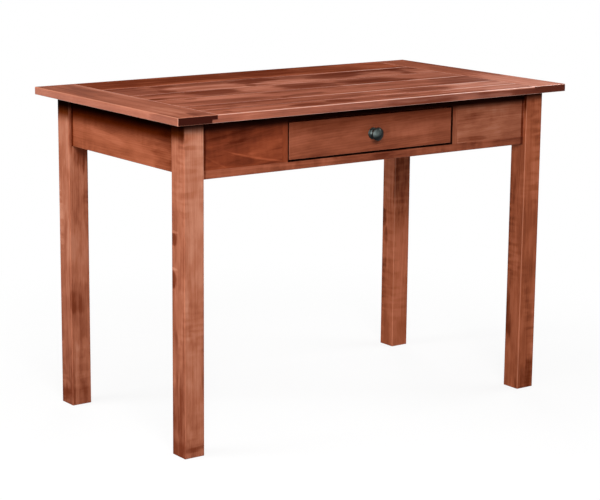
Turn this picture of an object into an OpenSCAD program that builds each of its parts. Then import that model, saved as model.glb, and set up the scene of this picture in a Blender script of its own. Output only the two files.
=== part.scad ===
// Writing desk with a breadboard top, four square legs and one drawer.
// X runs across the desk, Y from the front (-) to the back (+) and Z up.
// The origin is on the floor, under the middle of the desk. All sizes are in millimetres.

/* [Desk] */
// Width over the top
desk_w = 1110; // [1040:5:1400]
// Depth over the top
desk_d = 624; // [600:2:720]
// Height of the writing surface above the floor
desk_h = 762; // [720:1:800]

/* [Top] */
// Thickness of the top
top_t = 18; // [16:0.5:25]
// How far the top stands out past the legs at each end
end_overhang = 39; // [25:1:55]
// How far the top stands out past the legs at the front and at the back
side_overhang = 38; // [25:1:55]
// Width of each breadboard end
breadboard_w = 100; // [92:1:120]
// Length of the lap under each breadboard end
lap_l = 14; // [8:1:18]
// Thickness of the lap under each breadboard end
lap_t = 8; // [6:0.5:10]
// Clearance over and beyond the lap
lap_fit = 0.2; // [0.1:0.05:0.4]
// Width of the first top board, at the front
board_1_w = 71; // [62:1:80]
// Width of the second top board
board_2_w = 71; // [60:1:80]
// Width of the third top board
board_3_w = 115; // [100:1:125]
// Width of the fourth top board
board_4_w = 100; // [90:1:110]
// Width of the fifth top board (the sixth, at the back, fills the rest)
board_5_w = 128; // [110:1:135]
// Radius of the top's upper arris
top_ease = 2.6; // [1:0.2:4]
// Radius of the top's lower arris
under_ease = 1.6; // [0.6:0.2:3]
// Radius of the eased arris beside each seam
seam_ease = 1.2; // [0.4:0.1:1.6]

/* [Legs] */
// Width of a leg's square section
leg_w = 51; // [48:1:60]
// Radius of a leg's long arrises
leg_ease = 2.6; // [1:0.2:5]
// Radius of the arris round a foot
foot_ease = 1.4; // [0.6:0.2:3]

/* [Aprons and front frame] */
// Thickness of the aprons and of the front panels
apron_t = 19; // [17:0.5:20]
// How far the aprons sit in from the legs' outer faces
setback = 8.5; // [4:0.5:10]
// Height of the two end aprons
end_apron_h = 115; // [100:1:130]
// Height of the front frame and of the back apron
front_h = 128; // [120:1:140]
// Thickness of the front rails
rail_t = 19; // [17:0.5:21]
// Depth of the front rails, front to back
rail_d = 40; // [34:1:42]
// Thickness of the dividers beside the drawer
divider_w = 15; // [12:0.5:20]
// Width of the drawer opening
opening_w = 476; // [420:2:540]
// Radius of the aprons' and rails' lower arris
apron_ease = 1.6; // [0.6:0.2:3]
// Radius of the small arrises in the front frame
frame_ease = 0.6; // [0.3:0.1:1]

/* [Joinery] */
// Thickness of the tenons
tenon_t = 8; // [6:0.5:9]
// Length of the tenons that enter the legs
tenon_l = 24; // [16:1:24]
// Shoulder above and below each apron tenon
tenon_shoulder = 10; // [6:1:16]
// Length of the stub tenons on the dividers
divider_stub_l = 8; // [5:1:10]
// Length of the stub tenons on the runners and kickers
runner_stub_l = 12; // [8:1:14]
// Clearance on each face of a tenon
joint_fit = 0.15; // [0.05:0.05:0.3]
// Glue space past the end of a tenon
glue_gap = 0.8; // [0.4:0.1:0.9]
// Height of the corner blocks
block_h = 60; // [50:1:70]
// Drop from the underside of the top to a corner block
block_drop = 30; // [24:1:36]
// Length of a corner block along each apron, past the leg
block_wing = 58; // [50:1:70]

/* [Runners] */
// Width of the runners and kickers
runner_w = 40; // [34:1:46]
// Thickness of the guides that keep the drawer straight
guide_w = 19; // [17:0.5:24]
// Height of the guides
guide_h = 19; // [15:0.5:22]
// Side clearance between a guide and the drawer
guide_gap = 1; // [0.5:0.1:2]
// Clearance between the drawer and what it slides on
run_gap = 0.3; // [0.2:0.1:0.8]
// Height of the drawer stops
stop_h = 6; // [5:0.5:7]
// Length of a drawer stop, front to back
stop_l = 17; // [12:1:18]
// Width of a drawer stop
stop_w = 25; // [15:1:40]
// Distance between the two drawer stops
stop_span = 240; // [160:5:320]

/* [Drawer] */
// Gap all round the drawer front
reveal = 3.5; // [1.5:0.5:5]
// How far the drawer front sits in from the face of the front frame
drawer_inset = 1; // [0:0.5:3]
// Space left behind the drawer when it is shut
drawer_clear = 41; // [30:1:90]
// Thickness of the drawer front
front_t = 19; // [16:0.5:22]
// Wood left in front of the dovetails
front_lap = 6; // [4:0.5:8]
// Thickness of the drawer sides
side_t = 12; // [10:0.5:14]
// Height of the drawer sides
side_h = 78; // [68:1:82]
// Thickness of the drawer back
back_t = 12; // [9:0.5:15]
// How far the drawer back stays below the top of the sides
back_drop = 4; // [2:0.5:8]
// Thickness of the drawer bottom
bottom_t = 6; // [4:0.5:8]
// Depth of the grooves that hold the drawer bottom
groove_l = 6; // [4:0.5:8]
// Height of the drawer bottom above the lower edge of the sides
bottom_up = 9.7; // [9:0.1:12]
// Dovetails at each corner of the drawer
tails = 3; // [2:1:4]
// Width of the pins between dovetails, where they are narrowest
pin_w = 5; // [3:0.5:7]
// Slope of the dovetails, as run to rise
tail_slope = 7; // [5:0.5:9]
// Clearance in the dovetails and in the bottom's groove
drawer_fit = 0.1; // [0.05:0.05:0.2]
// Radius of the drawer front's arrises
drawer_ease = 1.2; // [0.4:0.1:2]

/* [Knob] */
// Diameter of the knob's cap
knob_d = 31; // [26:0.5:38]
// Distance that the knob stands out from the drawer front
knob_reach = 28; // [22:0.5:34]
// Diameter of the knob's base
knob_base_d = 27; // [20:0.5:30]
// Thickness of the knob's base
knob_base_t = 3; // [2:0.1:4]
// Diameter of the knob's neck
knob_neck_d = 12; // [10:0.5:14]
// Height of the cap's dome
knob_dome = 5.5; // [4:0.5:8]
// Radius of the cap's rim
knob_rim = 2.6; // [1.5:0.1:3]
// Diameter of the knob's screw
knob_screw_d = 4; // [3:0.5:5]
// Depth of the screw hole in the knob
knob_bore = 12; // [8:0.5:16]
// Length of the hole past the end of the knob's screw
knob_bore_spare = 1; // [0.5:0.1:2]

/* [Screws and buttons] */
// Diameter of the wood screws
screw_d = 4; // [3:0.5:4.5]
// Diameter of the wood screws' heads
screw_head_d = 8; // [7:0.5:8.5]
// Length of the wood screws' points
screw_point_l = 3; // [2:0.5:4]
// Width of the wood screws' points at the tip
screw_tip_d = 1; // [0.5:0.1:1.5]
// Length of the screws in the top, the guides and the buttons
screw_l = 28; // [25:1:30]
// Length of the screws in the drawer bottom
bottom_screw_l = 20; // [14:1:26]
// Length of the screws in the corner blocks
block_screw_l = 45; // [38:1:48]
// Clearance round a screw
screw_fit = 0.1; // [0.05:0.05:0.2]
// Length of a wooden button past its shoulder
button_l = 26; // [24:1:30]
// Width of a wooden button
button_w = 30; // [24:1:36]
// Thickness of a wooden button
button_t = 18; // [16:0.5:18]
// Length of a button's tongue
button_tongue_l = 7; // [5:0.5:8]
// Gap between a button's shoulder and the apron
button_gap = 0.5; // [0.3:0.1:1]
// Thickness of a button's tongue
button_tongue_t = 6; // [5:0.5:7]
// Clearance above and below a button's tongue
button_tongue_fit = 0.3; // [0.2:0.1:0.6]
// Depth of the button groove in the aprons
button_groove_l = 8; // [8:0.5:9]
// Distance of the end buttons from the middle of the end aprons
end_button_y = 120; // [80:5:150]
// Distance of the outer back buttons from the middle of the back apron
back_button_x = 340; // [300:5:370]
// Distance of the top rail's outer screws from the legs
rail_screw_end = 65; // [45:5:90]
// Distance of the top rail's inner screws from the middle of the desk
rail_screw_mid = 150; // [100:5:180]
// Distance of the top rail's screws from its front face
rail_screw_in = 15; // [12:1:20]
// Distance of the guides' outer screws from the guides' ends
guide_screw_end = 40; // [25:5:70]
// Distance of the drawer bottom's outer screws from the drawer's sides
bottom_screw_end = 55; // [40:5:90]
// Distance of a corner block's screws from its upper and lower faces
block_screw_end = 15; // [12:1:18]

/* [Hidden] */
$fn = 48;

// Colours of the stained maple, the plain drawer wood and the metals
stain = [0.56, 0.30, 0.22];
stain_light = [0.66, 0.38, 0.29];
stain_dark = [0.44, 0.22, 0.16];
plain_wood = [0.80, 0.66, 0.48];
pewter = [0.26, 0.29, 0.30];
steel = [0.72, 0.70, 0.62];

// Overlap that keeps cuts clear of coincident faces
cut = 1;
// Flat left at each end of the knob's hollow neck
cove_trim = 0.2;

// Levels
under_z = desk_h - top_t;
front_z = under_z - front_h;
opening_z = front_z + rail_t;
opening_top_z = under_z - rail_t;
opening_h = opening_top_z - opening_z;

// Legs and aprons, as distances from the middle of the desk
leg_x = desk_w / 2 - end_overhang;
leg_y = desk_d / 2 - side_overhang;
inner_x = leg_x - leg_w;
inner_y = leg_y - leg_w;
face_x = leg_x - setback;
face_y = leg_y - setback;
apron_in_x = face_x - apron_t;
apron_in_y = face_y - apron_t;
rail_back_y = face_y - rail_d;
opening_x = opening_w / 2;

// Top boards, front to back
seam_x = desk_w / 2 - breadboard_w;
first_widths = [board_1_w, board_2_w, board_3_w, board_4_w, board_5_w];
function sum_to(list, n) = n == 0 ? 0 : list[n - 1] + sum_to(list, n - 1);
function seam_y(i) = i == len(first_widths) + 1 ? desk_d / 2 : sum_to(first_widths, i) - desk_d / 2;

// Drawer
drawer_x = opening_x - reveal;
drawer_front_y = -face_y + drawer_inset;
drawer_in_y = drawer_front_y + front_t;
drawer_back_y = apron_in_y - drawer_clear;
front_low_z = opening_z + reveal;
front_top_z = opening_top_z - reveal;
side_z = opening_z + run_gap;
side_top_z = side_z + side_h;
side_in_x = drawer_x - side_t;
bottom_z = side_z + bottom_up;
bottom_top_z = bottom_z + bottom_t;
back_top_z = side_top_z - back_drop;
back_in_y = drawer_back_y - back_t;
knob_z = (front_low_z + front_top_z) / 2;

// Runners, guides and kickers
runner_in_x = opening_x - reveal + guide_gap + guide_w - runner_w;
guide_x = drawer_x + guide_gap;

// Fixings
button_groove_z = under_z - button_t + button_tongue_t / 2;
button_groove_h = button_tongue_t + 2 * button_tongue_fit;
button_screw_in = button_l / 2;
rail_screw_y = -face_y + rail_screw_in;
rail_screw_far = inner_x - rail_screw_end;
rail_screw_xs = [-rail_screw_far, -rail_screw_mid, rail_screw_mid, rail_screw_far];
guide_front_y = -rail_back_y;
guide_screw_ys = [guide_front_y + guide_screw_end, (guide_front_y + apron_in_y) / 2,
                  apron_in_y - guide_screw_end];
block_top_z = under_z - block_drop;
block_screw_zs = [block_top_z - block_screw_end, block_top_z - block_h + block_screw_end];
bottom_screw_far = side_in_x - bottom_screw_end;
bottom_screw_xs = [-bottom_screw_far, 0, bottom_screw_far];

// A box from its low corner to its high corner
module block(low, high) {
    translate(low) cube(high - low);
}

// A rectangle with a rounded corner of its own radius at each of its corners:
// low left, low right, high right, high left
module eased_rect(size, r) {
    at = [[0, 0], [size[0], 0], size, [0, size[1]]];
    way = [[1, 1], [-1, 1], [-1, -1], [1, -1]];
    difference() {
        square(size);
        for (i = [0:3]) if (r[i] > 0) translate(at[i]) in_quarter(way[i]) difference() {
            translate([-cut, -cut]) square(r[i] + cut);
            translate([r[i], r[i]]) circle(r[i]);
        }
    }
}

// Turns a shape in the first quarter into the quarter that way names
module in_quarter(way) {
    mirror([way[0] < 0 ? 1 : 0, 0]) mirror([0, way[1] < 0 ? 1 : 0]) children();
}

// Bars along X, Y and Z with the section's corners eased
module bar_x(low, high, r) {
    translate(low) rotate([90, 0, 90]) linear_extrude(high[0] - low[0])
        eased_rect([high[1] - low[1], high[2] - low[2]], r);
}

module bar_y(low, high, r) {
    translate([low[0], high[1], low[2]]) rotate([90, 0, 0]) linear_extrude(high[1] - low[1])
        eased_rect([high[0] - low[0], high[2] - low[2]], r);
}

module bar_z(low, high, r) {
    translate(low) linear_extrude(high[2] - low[2])
        eased_rect([high[0] - low[0], high[1] - low[1]], r);
}

// Puts a right-hand or back piece on the left or at the front
module on_side(x_way, y_way = 1) {
    mirror([x_way < 0 ? 1 : 0, 0, 0]) mirror([0, y_way < 0 ? 1 : 0, 0]) children();
}

// A flat-headed wood screw, its head up at the origin and its point at -length
module screw_body(length) {
    head_h = (screw_head_d - screw_d) / 2;
    translate([0, 0, -head_h]) cylinder(h = head_h, d1 = screw_d, d2 = screw_head_d);
    translate([0, 0, screw_point_l - length]) cylinder(h = length - head_h - screw_point_l, d = screw_d);
    translate([0, 0, -length]) cylinder(h = screw_point_l, d1 = screw_tip_d, d2 = screw_d);
}

// The countersunk hole for that screw
module screw_hole(length) {
    wide = screw_head_d + 2 * screw_fit;
    thin = screw_d + 2 * screw_fit;
    head_h = (wide - thin) / 2;
    translate([0, 0, -head_h]) cylinder(h = head_h, d1 = thin, d2 = wide);
    cylinder(h = cut, d = wide);
    translate([0, 0, -length - screw_fit]) cylinder(h = length + screw_fit, d = thin);
}

// Places of the screws, each turned so that its head faces away from the wood it holds
module at_rail_screws() {
    for (x = rail_screw_xs) translate([x, rail_screw_y, opening_top_z]) rotate([180, 0, 0]) children();
}

module at_end_buttons() {
    for (x_way = [-1, 1], y = [-end_button_y, end_button_y])
        translate([x_way * apron_in_x, y, under_z]) rotate([0, 0, x_way > 0 ? 90 : -90]) children();
}

module at_back_buttons() {
    for (x = [-back_button_x, 0, back_button_x])
        translate([x, apron_in_y, under_z]) rotate([0, 0, 180]) children();
}

module at_buttons() {
    at_end_buttons() children();
    at_back_buttons() children();
}

module at_button_screws() {
    at_buttons() translate([0, button_screw_in, -button_t]) rotate([180, 0, 0]) children();
}

module at_guide_screws(x_way) {
    for (y = guide_screw_ys)
        translate([x_way * (guide_x + guide_w / 2), y, opening_z + guide_h]) children();
}

module at_bottom_screws() {
    for (x = bottom_screw_xs)
        translate([x, drawer_back_y - back_t / 2, bottom_z]) rotate([180, 0, 0]) children();
}

// The corner blocks' screws run level, through the slanted face into the leg's corner
module at_block_screws() {
    for (z = block_screw_zs)
        translate([inner_x - block_wing / 2 + (apron_in_x - inner_x) / 2,
                   inner_y - block_wing / 2 + (apron_in_y - inner_y) / 2, z])
            rotate([0, -90, 45]) rotate([0, 0, 90]) children();
}

// Top

module top_screw_holes() {
    at_rail_screws() screw_hole(screw_l);
    at_button_screws() screw_hole(screw_l);
}

// One long board: eased beside its seams, with a lap at each end under the breadboard
module top_board(i) {
    front = seam_y(i - 1);
    back = seam_y(i);
    is_front = i == 1;
    is_back = i == len(first_widths) + 1;
    r = [is_front ? under_ease : 0, is_back ? under_ease : 0,
         is_back ? top_ease : seam_ease, is_front ? top_ease : seam_ease];
    lap_x = seam_x + lap_l - lap_fit;
    difference() {
        intersection() {
            bar_x([-lap_x, front, under_z], [lap_x, back, desk_h], r);
            union() {
                bar_y([-seam_x, front - cut, under_z], [seam_x, back + cut, desk_h],
                      [0, 0, seam_ease, seam_ease]);
                block([-lap_x, front - cut, under_z], [lap_x, back + cut, under_z + lap_t - lap_fit]);
            }
        }
        top_screw_holes();
    }
}

module breadboard() {
    low = [seam_x, -desk_d / 2, under_z];
    high = [desk_w / 2, desk_d / 2, desk_h];
    grow = [0, cut, 0];
    difference() {
        intersection() {
            bar_y(low - grow, high + grow, [0, under_ease, top_ease, seam_ease]);
            bar_x(low, high, [under_ease, under_ease, top_ease, top_ease]);
            bar_z(low, high, [0, top_ease, top_ease, 0]);
        }
        block(low - [cut, cut, cut], [seam_x + lap_l, desk_d / 2 + cut, under_z + lap_t]);
        top_screw_holes();
    }
}

module breadboard_left() { color(stain_light) on_side(-1) breadboard(); }
module breadboard_right() { color(stain_light) breadboard(); }
module top_board_1() { color(stain) top_board(1); }
module top_board_2() { color(stain) top_board(2); }
module top_board_3() { color(stain_light) top_board(3); }
module top_board_4() { color(stain) top_board(4); }
module top_board_5() { color(stain_light) top_board(5); }
module top_board_6() { color(stain_dark) top_board(6); }

// Tenons and their mortises, drawn from the shoulder outwards

module apron_tenon(bottom, grow = 0, extra = 0) {
    block([-tenon_t / 2 - grow, -cut, bottom + tenon_shoulder - grow],
          [tenon_t / 2 + grow, tenon_l + extra, under_z - tenon_shoulder + grow]);
}

module at_end_tenon() {
    translate([face_x - apron_t / 2, inner_y, 0]) children();
}

module at_long_tenon() {
    translate([inner_x, face_y - apron_t / 2, 0]) rotate([0, 0, -90]) children();
}

// Tenon of a front rail, drawn for the right-hand end at the front
module rail_tenon(z, grow = 0, extra = 0) {
    block([inner_x - cut, -face_y + tenon_t - grow, z + (rail_t - tenon_t) / 2 - grow],
          [inner_x + tenon_l + extra, -rail_back_y - tenon_t + grow, z + (rail_t + tenon_t) / 2 + grow]);
}

// Tenon of a front panel, also drawn for the right-hand end
module panel_tenon(grow = 0, extra = 0) {
    block([inner_x - cut, -face_y + (apron_t - tenon_t) / 2 - grow, opening_z + tenon_shoulder - grow],
          [inner_x + tenon_l + extra, -face_y + (apron_t + tenon_t) / 2 + grow,
           opening_top_z - tenon_shoulder + grow]);
}

// Legs

// The back right-hand leg, cut only for its end apron and corner block
module plain_leg() {
    low = [inner_x, inner_y, 0];
    high = [leg_x, leg_y, under_z];
    foot = [foot_ease, foot_ease, 0, 0];
    difference() {
        intersection() {
            bar_z(low, high, [leg_ease, leg_ease, leg_ease, leg_ease]);
            bar_x(low, high, foot);
            bar_y(low, high, foot);
        }
        at_end_tenon() apron_tenon(under_z - end_apron_h, joint_fit, glue_gap);
        at_block_screws() screw_hole(block_screw_l);
    }
}

module back_leg() {
    difference() {
        plain_leg();
        at_long_tenon() apron_tenon(front_z, joint_fit, glue_gap);
    }
}

module front_leg() {
    difference() {
        on_side(1, -1) plain_leg();
        rail_tenon(front_z, joint_fit, glue_gap);
        rail_tenon(opening_top_z, joint_fit, glue_gap);
        panel_tenon(joint_fit, glue_gap);
    }
}

module leg_front_left() { color(stain_light) on_side(-1) front_leg(); }
module leg_front_right() { color(stain) front_leg(); }
module leg_back_left() { color(stain_light) on_side(-1) back_leg(); }
module leg_back_right() { color(stain) back_leg(); }

// Aprons

// Groove for the buttons' tongues, on the inner face of an apron at the given distance
module button_groove(length) {
    block([-length, -cut, button_groove_z - button_groove_h / 2],
          [length, button_groove_l, button_groove_z + button_groove_h / 2]);
}

module end_apron() {
    difference() {
        union() {
            bar_y([apron_in_x, -inner_y, under_z - end_apron_h], [face_x, inner_y, under_z],
                  [apron_ease, apron_ease, 0, 0]);
            at_end_tenon() apron_tenon(under_z - end_apron_h);
            on_side(1, -1) at_end_tenon() apron_tenon(under_z - end_apron_h);
        }
        translate([apron_in_x, 0, 0]) rotate([0, 0, -90]) button_groove(end_button_y + button_w);
    }
}

module end_apron_left() { color(stain_light) on_side(-1) end_apron(); }
module end_apron_right() { color(stain) end_apron(); }

module back_apron() {
    color(stain) difference() {
        union() {
            bar_x([-inner_x, apron_in_y, front_z], [inner_x, face_y, under_z],
                  [apron_ease, apron_ease, 0, 0]);
            for (x_way = [-1, 1]) on_side(x_way) at_long_tenon() apron_tenon(front_z);
        }
        translate([0, apron_in_y, 0]) button_groove(back_button_x + button_w);
        for (x_way = [-1, 1], z = [front_z, opening_top_z])
            on_side(x_way) runner_stub(apron_in_y, 1, z, joint_fit, glue_gap);
    }
}

// Front frame

module front_rail(z, r) {
    difference() {
        union() {
            bar_x([-inner_x, -face_y, z], [inner_x, -rail_back_y, z + rail_t], r);
            for (x_way = [-1, 1]) on_side(x_way) rail_tenon(z);
        }
        for (x_way = [-1, 1]) on_side(x_way) {
            runner_stub(-rail_back_y, -1, z, joint_fit, glue_gap);
            divider_stubs(joint_fit, glue_gap);
        }
    }
}

module front_bottom_rail() {
    color(stain) front_rail(front_z, [apron_ease, apron_ease, 0, frame_ease]);
}

module front_top_rail() {
    color(stain_dark) difference() {
        front_rail(opening_top_z, [frame_ease, 0, 0, 0]);
        at_rail_screws() screw_hole(screw_l);
    }
}

// Stub tenons above and below the right-hand divider, in front of the runners' tenons
module divider_stubs(grow = 0, extra = 0) {
    middle = opening_x + divider_w / 2;
    back = -rail_back_y - runner_stub_l - tenon_t / 2;
    block([middle - divider_w / 4 - grow, -face_y + tenon_t - grow, opening_z - divider_stub_l - extra],
          [middle + divider_w / 4 + grow, back + grow, opening_top_z + divider_stub_l + extra]);
}

module divider() {
    bar_z([opening_x, -face_y, opening_z], [opening_x + divider_w, -rail_back_y, opening_top_z],
          [frame_ease, frame_ease, 0, 0]);
    divider_stubs();
}

module divider_left() { color(stain) on_side(-1) divider(); }
module divider_right() { color(stain) divider(); }

// The board between a divider and a leg
module front_panel() {
    low = [opening_x + divider_w, -face_y, opening_z];
    high = [inner_x, -face_y + apron_t, opening_top_z];
    intersection() {
        bar_x(low, high, [frame_ease, 0, 0, frame_ease]);
        bar_z(low, high, [frame_ease, 0, 0, 0]);
    }
    panel_tenon();
}

module front_panel_left() { color(stain) on_side(-1) front_panel(); }
module front_panel_right() { color(stain) front_panel(); }

// Corner blocks

// The back right-hand block: it fits round the leg's corner and bears on both aprons
module corner_block() {
    difference() {
        translate([0, 0, block_top_z - block_h]) linear_extrude(block_h) polygon([
            [inner_x, inner_y],
            [apron_in_x, inner_y],
            [apron_in_x, inner_y - block_wing],
            [inner_x - block_wing, apron_in_y],
            [inner_x, apron_in_y]
        ]);
        at_block_screws() screw_hole(block_screw_l);
    }
}

module corner_block_front_left() { color(plain_wood) on_side(-1, -1) corner_block(); }
module corner_block_front_right() { color(plain_wood) on_side(1, -1) corner_block(); }
module corner_block_back_left() { color(plain_wood) on_side(-1) corner_block(); }
module corner_block_back_right() { color(plain_wood) corner_block(); }

module corner_block_screws() {
    color(steel) for (x_way = [-1, 1], y_way = [-1, 1])
        on_side(x_way, y_way) at_block_screws() screw_body(block_screw_l);
}

// Buttons that hold the top and let it swell and shrink

module button() {
    difference() {
        union() {
            block([-button_w / 2, button_gap, -button_t], [button_w / 2, button_l, 0]);
            block([-button_w / 2, -button_tongue_l, -button_t],
                  [button_w / 2, button_gap + cut, -button_t + button_tongue_t]);
        }
        translate([0, button_screw_in, -button_t]) rotate([180, 0, 0]) screw_hole(screw_l);
    }
}

module top_buttons() { color(plain_wood) at_buttons() button(); }
module top_button_screws() { color(steel) at_button_screws() screw_body(screw_l); }
module top_rail_screws() { color(steel) at_rail_screws() screw_body(screw_l); }

// Runners, guides, kickers and stops

// Stub tenon of a runner or kicker, from the face at y, in the direction y_way
module runner_stub(y, y_way, z, grow = 0, extra = 0) {
    near = y - y_way * cut;
    far = y + y_way * (runner_stub_l + extra);
    block([runner_in_x + tenon_t - grow, min(near, far), z + (rail_t - tenon_t) / 2 - grow],
          [runner_in_x + runner_w - tenon_t + grow, max(near, far), z + (rail_t + tenon_t) / 2 + grow]);
}

module runner(z) {
    block([runner_in_x, -rail_back_y, z], [runner_in_x + runner_w, apron_in_y, z + rail_t]);
    runner_stub(-rail_back_y, -1, z);
    runner_stub(apron_in_y, 1, z);
}

module low_runner() {
    difference() {
        runner(front_z);
        at_guide_screws(1) screw_hole(screw_l);
    }
}

module guide() {
    difference() {
        block([guide_x, -rail_back_y, opening_z], [guide_x + guide_w, apron_in_y, opening_z + guide_h]);
        at_guide_screws(1) screw_hole(screw_l);
    }
}

module runner_left() { color(plain_wood) on_side(-1) low_runner(); }
module runner_right() { color(plain_wood) low_runner(); }
module guide_left() { color(plain_wood) on_side(-1) guide(); }
module guide_right() { color(plain_wood) guide(); }
module kicker_left() { color(plain_wood) on_side(-1) runner(opening_top_z); }
module kicker_right() { color(plain_wood) runner(opening_top_z); }

module guide_screws() {
    color(steel) for (x_way = [-1, 1]) at_guide_screws(x_way) screw_body(screw_l);
}

// A stop meets the back of the drawer front when the drawer is shut
module drawer_stop() {
    front = drawer_in_y + run_gap;
    block([(stop_span - stop_w) / 2, front, opening_z],
          [(stop_span + stop_w) / 2, front + stop_l, opening_z + stop_h]);
}

module drawer_stop_left() { color(plain_wood) on_side(-1) drawer_stop(); }
module drawer_stop_right() { color(plain_wood) drawer_stop(); }

// Drawer

// A row of tails between two levels, from their baseline at y towards y_way
module tail_row(low, high, y, y_way, length, grow = 0) {
    pitch = (high - low) / tails;
    far = y + y_way * (length + grow);
    near = y - y_way * cut;
    wide = (pitch - pin_w) / 2;
    for (i = [0:tails - 1]) {
        middle = low + pitch * (i + 0.5);
        slant = wide - length / tail_slope;
        translate([side_in_x - grow, 0, middle]) rotate([90, 0, 90]) linear_extrude(side_t + grow + cut)
            polygon([
                [near, -slant - grow], [y, -slant - grow], [far, -wide - grow],
                [far, wide + grow], [y, slant + grow], [near, slant + grow]
            ]);
    }
}

module front_tails(grow = 0) {
    tail_row(front_low_z, side_top_z, drawer_in_y, -1, front_t - front_lap, grow);
}

module back_tails(grow = 0) {
    tail_row(bottom_top_z, back_top_z, back_in_y, 1, back_t, grow);
}

// The drawer bottom, or the groove that takes it
module bottom_panel(grow = 0) {
    block([-side_in_x - groove_l - grow, drawer_in_y - groove_l - grow, bottom_z - grow],
          [side_in_x + groove_l + grow, drawer_back_y, bottom_top_z + grow]);
}

module drawer_front() {
    low = [-drawer_x, drawer_front_y, front_low_z];
    high = [drawer_x, drawer_in_y, front_top_z];
    e = drawer_ease;
    color(stain) difference() {
        intersection() {
            bar_x(low, high, [e, 0, 0, e]);
            bar_z(low, high, [e, e, 0, 0]);
        }
        for (x_way = [-1, 1]) on_side(x_way) front_tails(drawer_fit);
        bottom_panel(drawer_fit);
        translate([0, drawer_front_y - cut, knob_z]) rotate([-90, 0, 0])
            cylinder(h = front_t + 2 * cut, d = knob_screw_d + 2 * screw_fit);
    }
}

module drawer_side() {
    difference() {
        intersection() {
            union() {
                block([side_in_x, drawer_in_y, side_z], [drawer_x, drawer_back_y, side_top_z]);
                front_tails();
            }
            block([side_in_x, -desk_d, side_z], [drawer_x, desk_d, side_top_z]);
        }
        difference() {
            block([side_in_x - cut, back_in_y, bottom_top_z],
                  [drawer_x + cut, drawer_back_y + cut, back_top_z + drawer_fit]);
            back_tails();
        }
        translate([0, cut, 0]) bottom_panel(drawer_fit);
        translate([0, -cut, 0]) bottom_panel(drawer_fit);
    }
}

module drawer_side_left() { color(plain_wood) on_side(-1) drawer_side(); }
module drawer_side_right() { color(plain_wood) drawer_side(); }

module drawer_back() {
    color(plain_wood) difference() {
        block([-drawer_x, back_in_y, bottom_top_z], [drawer_x, drawer_back_y, back_top_z]);
        for (x_way = [-1, 1]) on_side(x_way) back_tails(drawer_fit);
        at_bottom_screws() screw_hole(bottom_screw_l);
    }
}

module drawer_bottom() {
    color(plain_wood) difference() {
        bottom_panel();
        at_bottom_screws() screw_hole(bottom_screw_l);
    }
}

module drawer_bottom_screws() { color(steel) at_bottom_screws() screw_body(bottom_screw_l); }

// Knob

// Half of the knob's section, with X as the radius: a beaded base, a hollow neck that
// spreads evenly to the base and to the cap, and a cap with a round rim and a dome
module knob_section() {
    base_r = (knob_base_d - knob_base_t) / 2;
    cap_r = knob_d / 2;
    cap_z = knob_reach - knob_dome;
    neck_top_z = cap_z - 2 * knob_rim;
    neck_r = knob_neck_d / 2;
    spread = base_r - neck_r;
    cove_h = neck_top_z - knob_base_t;
    cove_r = (pow(spread, 2) + pow(cove_h / 2, 2)) / (2 * spread);
    dome_r = (pow(cap_r - knob_rim / 2, 2) + pow(knob_dome, 2)) / (2 * knob_dome);
    square([base_r, knob_base_t]);
    translate([base_r, knob_base_t / 2]) circle(knob_base_t / 2);
    difference() {
        square([base_r - cove_trim, cap_z]);
        translate([neck_r + cove_r, knob_base_t + cove_h / 2]) circle(cove_r);
    }
    translate([0, neck_top_z]) square([cap_r - knob_rim, 2 * knob_rim]);
    translate([cap_r - knob_rim, neck_top_z + knob_rim]) circle(knob_rim);
    intersection() {
        translate([0, knob_reach - dome_r]) circle(dome_r);
        translate([0, cap_z - knob_rim]) square([cap_r - knob_rim / 2, knob_dome + knob_rim]);
    }
}

module knob() {
    color(pewter) translate([0, drawer_front_y, knob_z]) rotate([90, 0, 0]) difference() {
        rotate_extrude() intersection() {
            knob_section();
            square([knob_d, knob_reach + cut]);
        }
        translate([0, 0, -cut]) cylinder(h = knob_bore + cut, d = knob_screw_d + 2 * screw_fit);
    }
}

// A round-headed machine screw, from inside the drawer into the knob
module knob_screw() {
    color(steel) translate([0, drawer_in_y, knob_z]) rotate([90, 0, 0]) {
        cylinder(h = front_t + knob_bore - knob_bore_spare, d = knob_screw_d);
        rotate([180, 0, 0])
            cylinder(h = knob_screw_d / 2, d1 = knob_screw_d * 2, d2 = knob_screw_d * 1.5);
    }
}

breadboard_left();
breadboard_right();
top_board_1();
top_board_2();
top_board_3();
top_board_4();
top_board_5();
top_board_6();
leg_front_left();
leg_front_right();
leg_back_left();
leg_back_right();
end_apron_left();
end_apron_right();
back_apron();
front_top_rail();
front_bottom_rail();
front_panel_left();
front_panel_right();
divider_left();
divider_right();
corner_block_front_left();
corner_block_front_right();
corner_block_back_left();
corner_block_back_right();
corner_block_screws();
top_buttons();
top_button_screws();
top_rail_screws();
runner_left();
runner_right();
guide_left();
guide_right();
guide_screws();
kicker_left();
kicker_right();
drawer_stop_left();
drawer_stop_right();
drawer_front();
drawer_side_left();
drawer_side_right();
drawer_back();
drawer_bottom();
drawer_bottom_screws();
knob();
knob_screw();
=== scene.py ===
"""Looks for the writing desk: stained maple, a pewter knob and steel screws.

Lengths are in metres unless a comment says mm, and colours are written as they look on a screen,
0 to 255. First come the helpers and the shader groups, then the stains and the figure of the wood,
the pieces one by one, the metals, and last the floor, the lamps and the camera."""

import math

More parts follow.
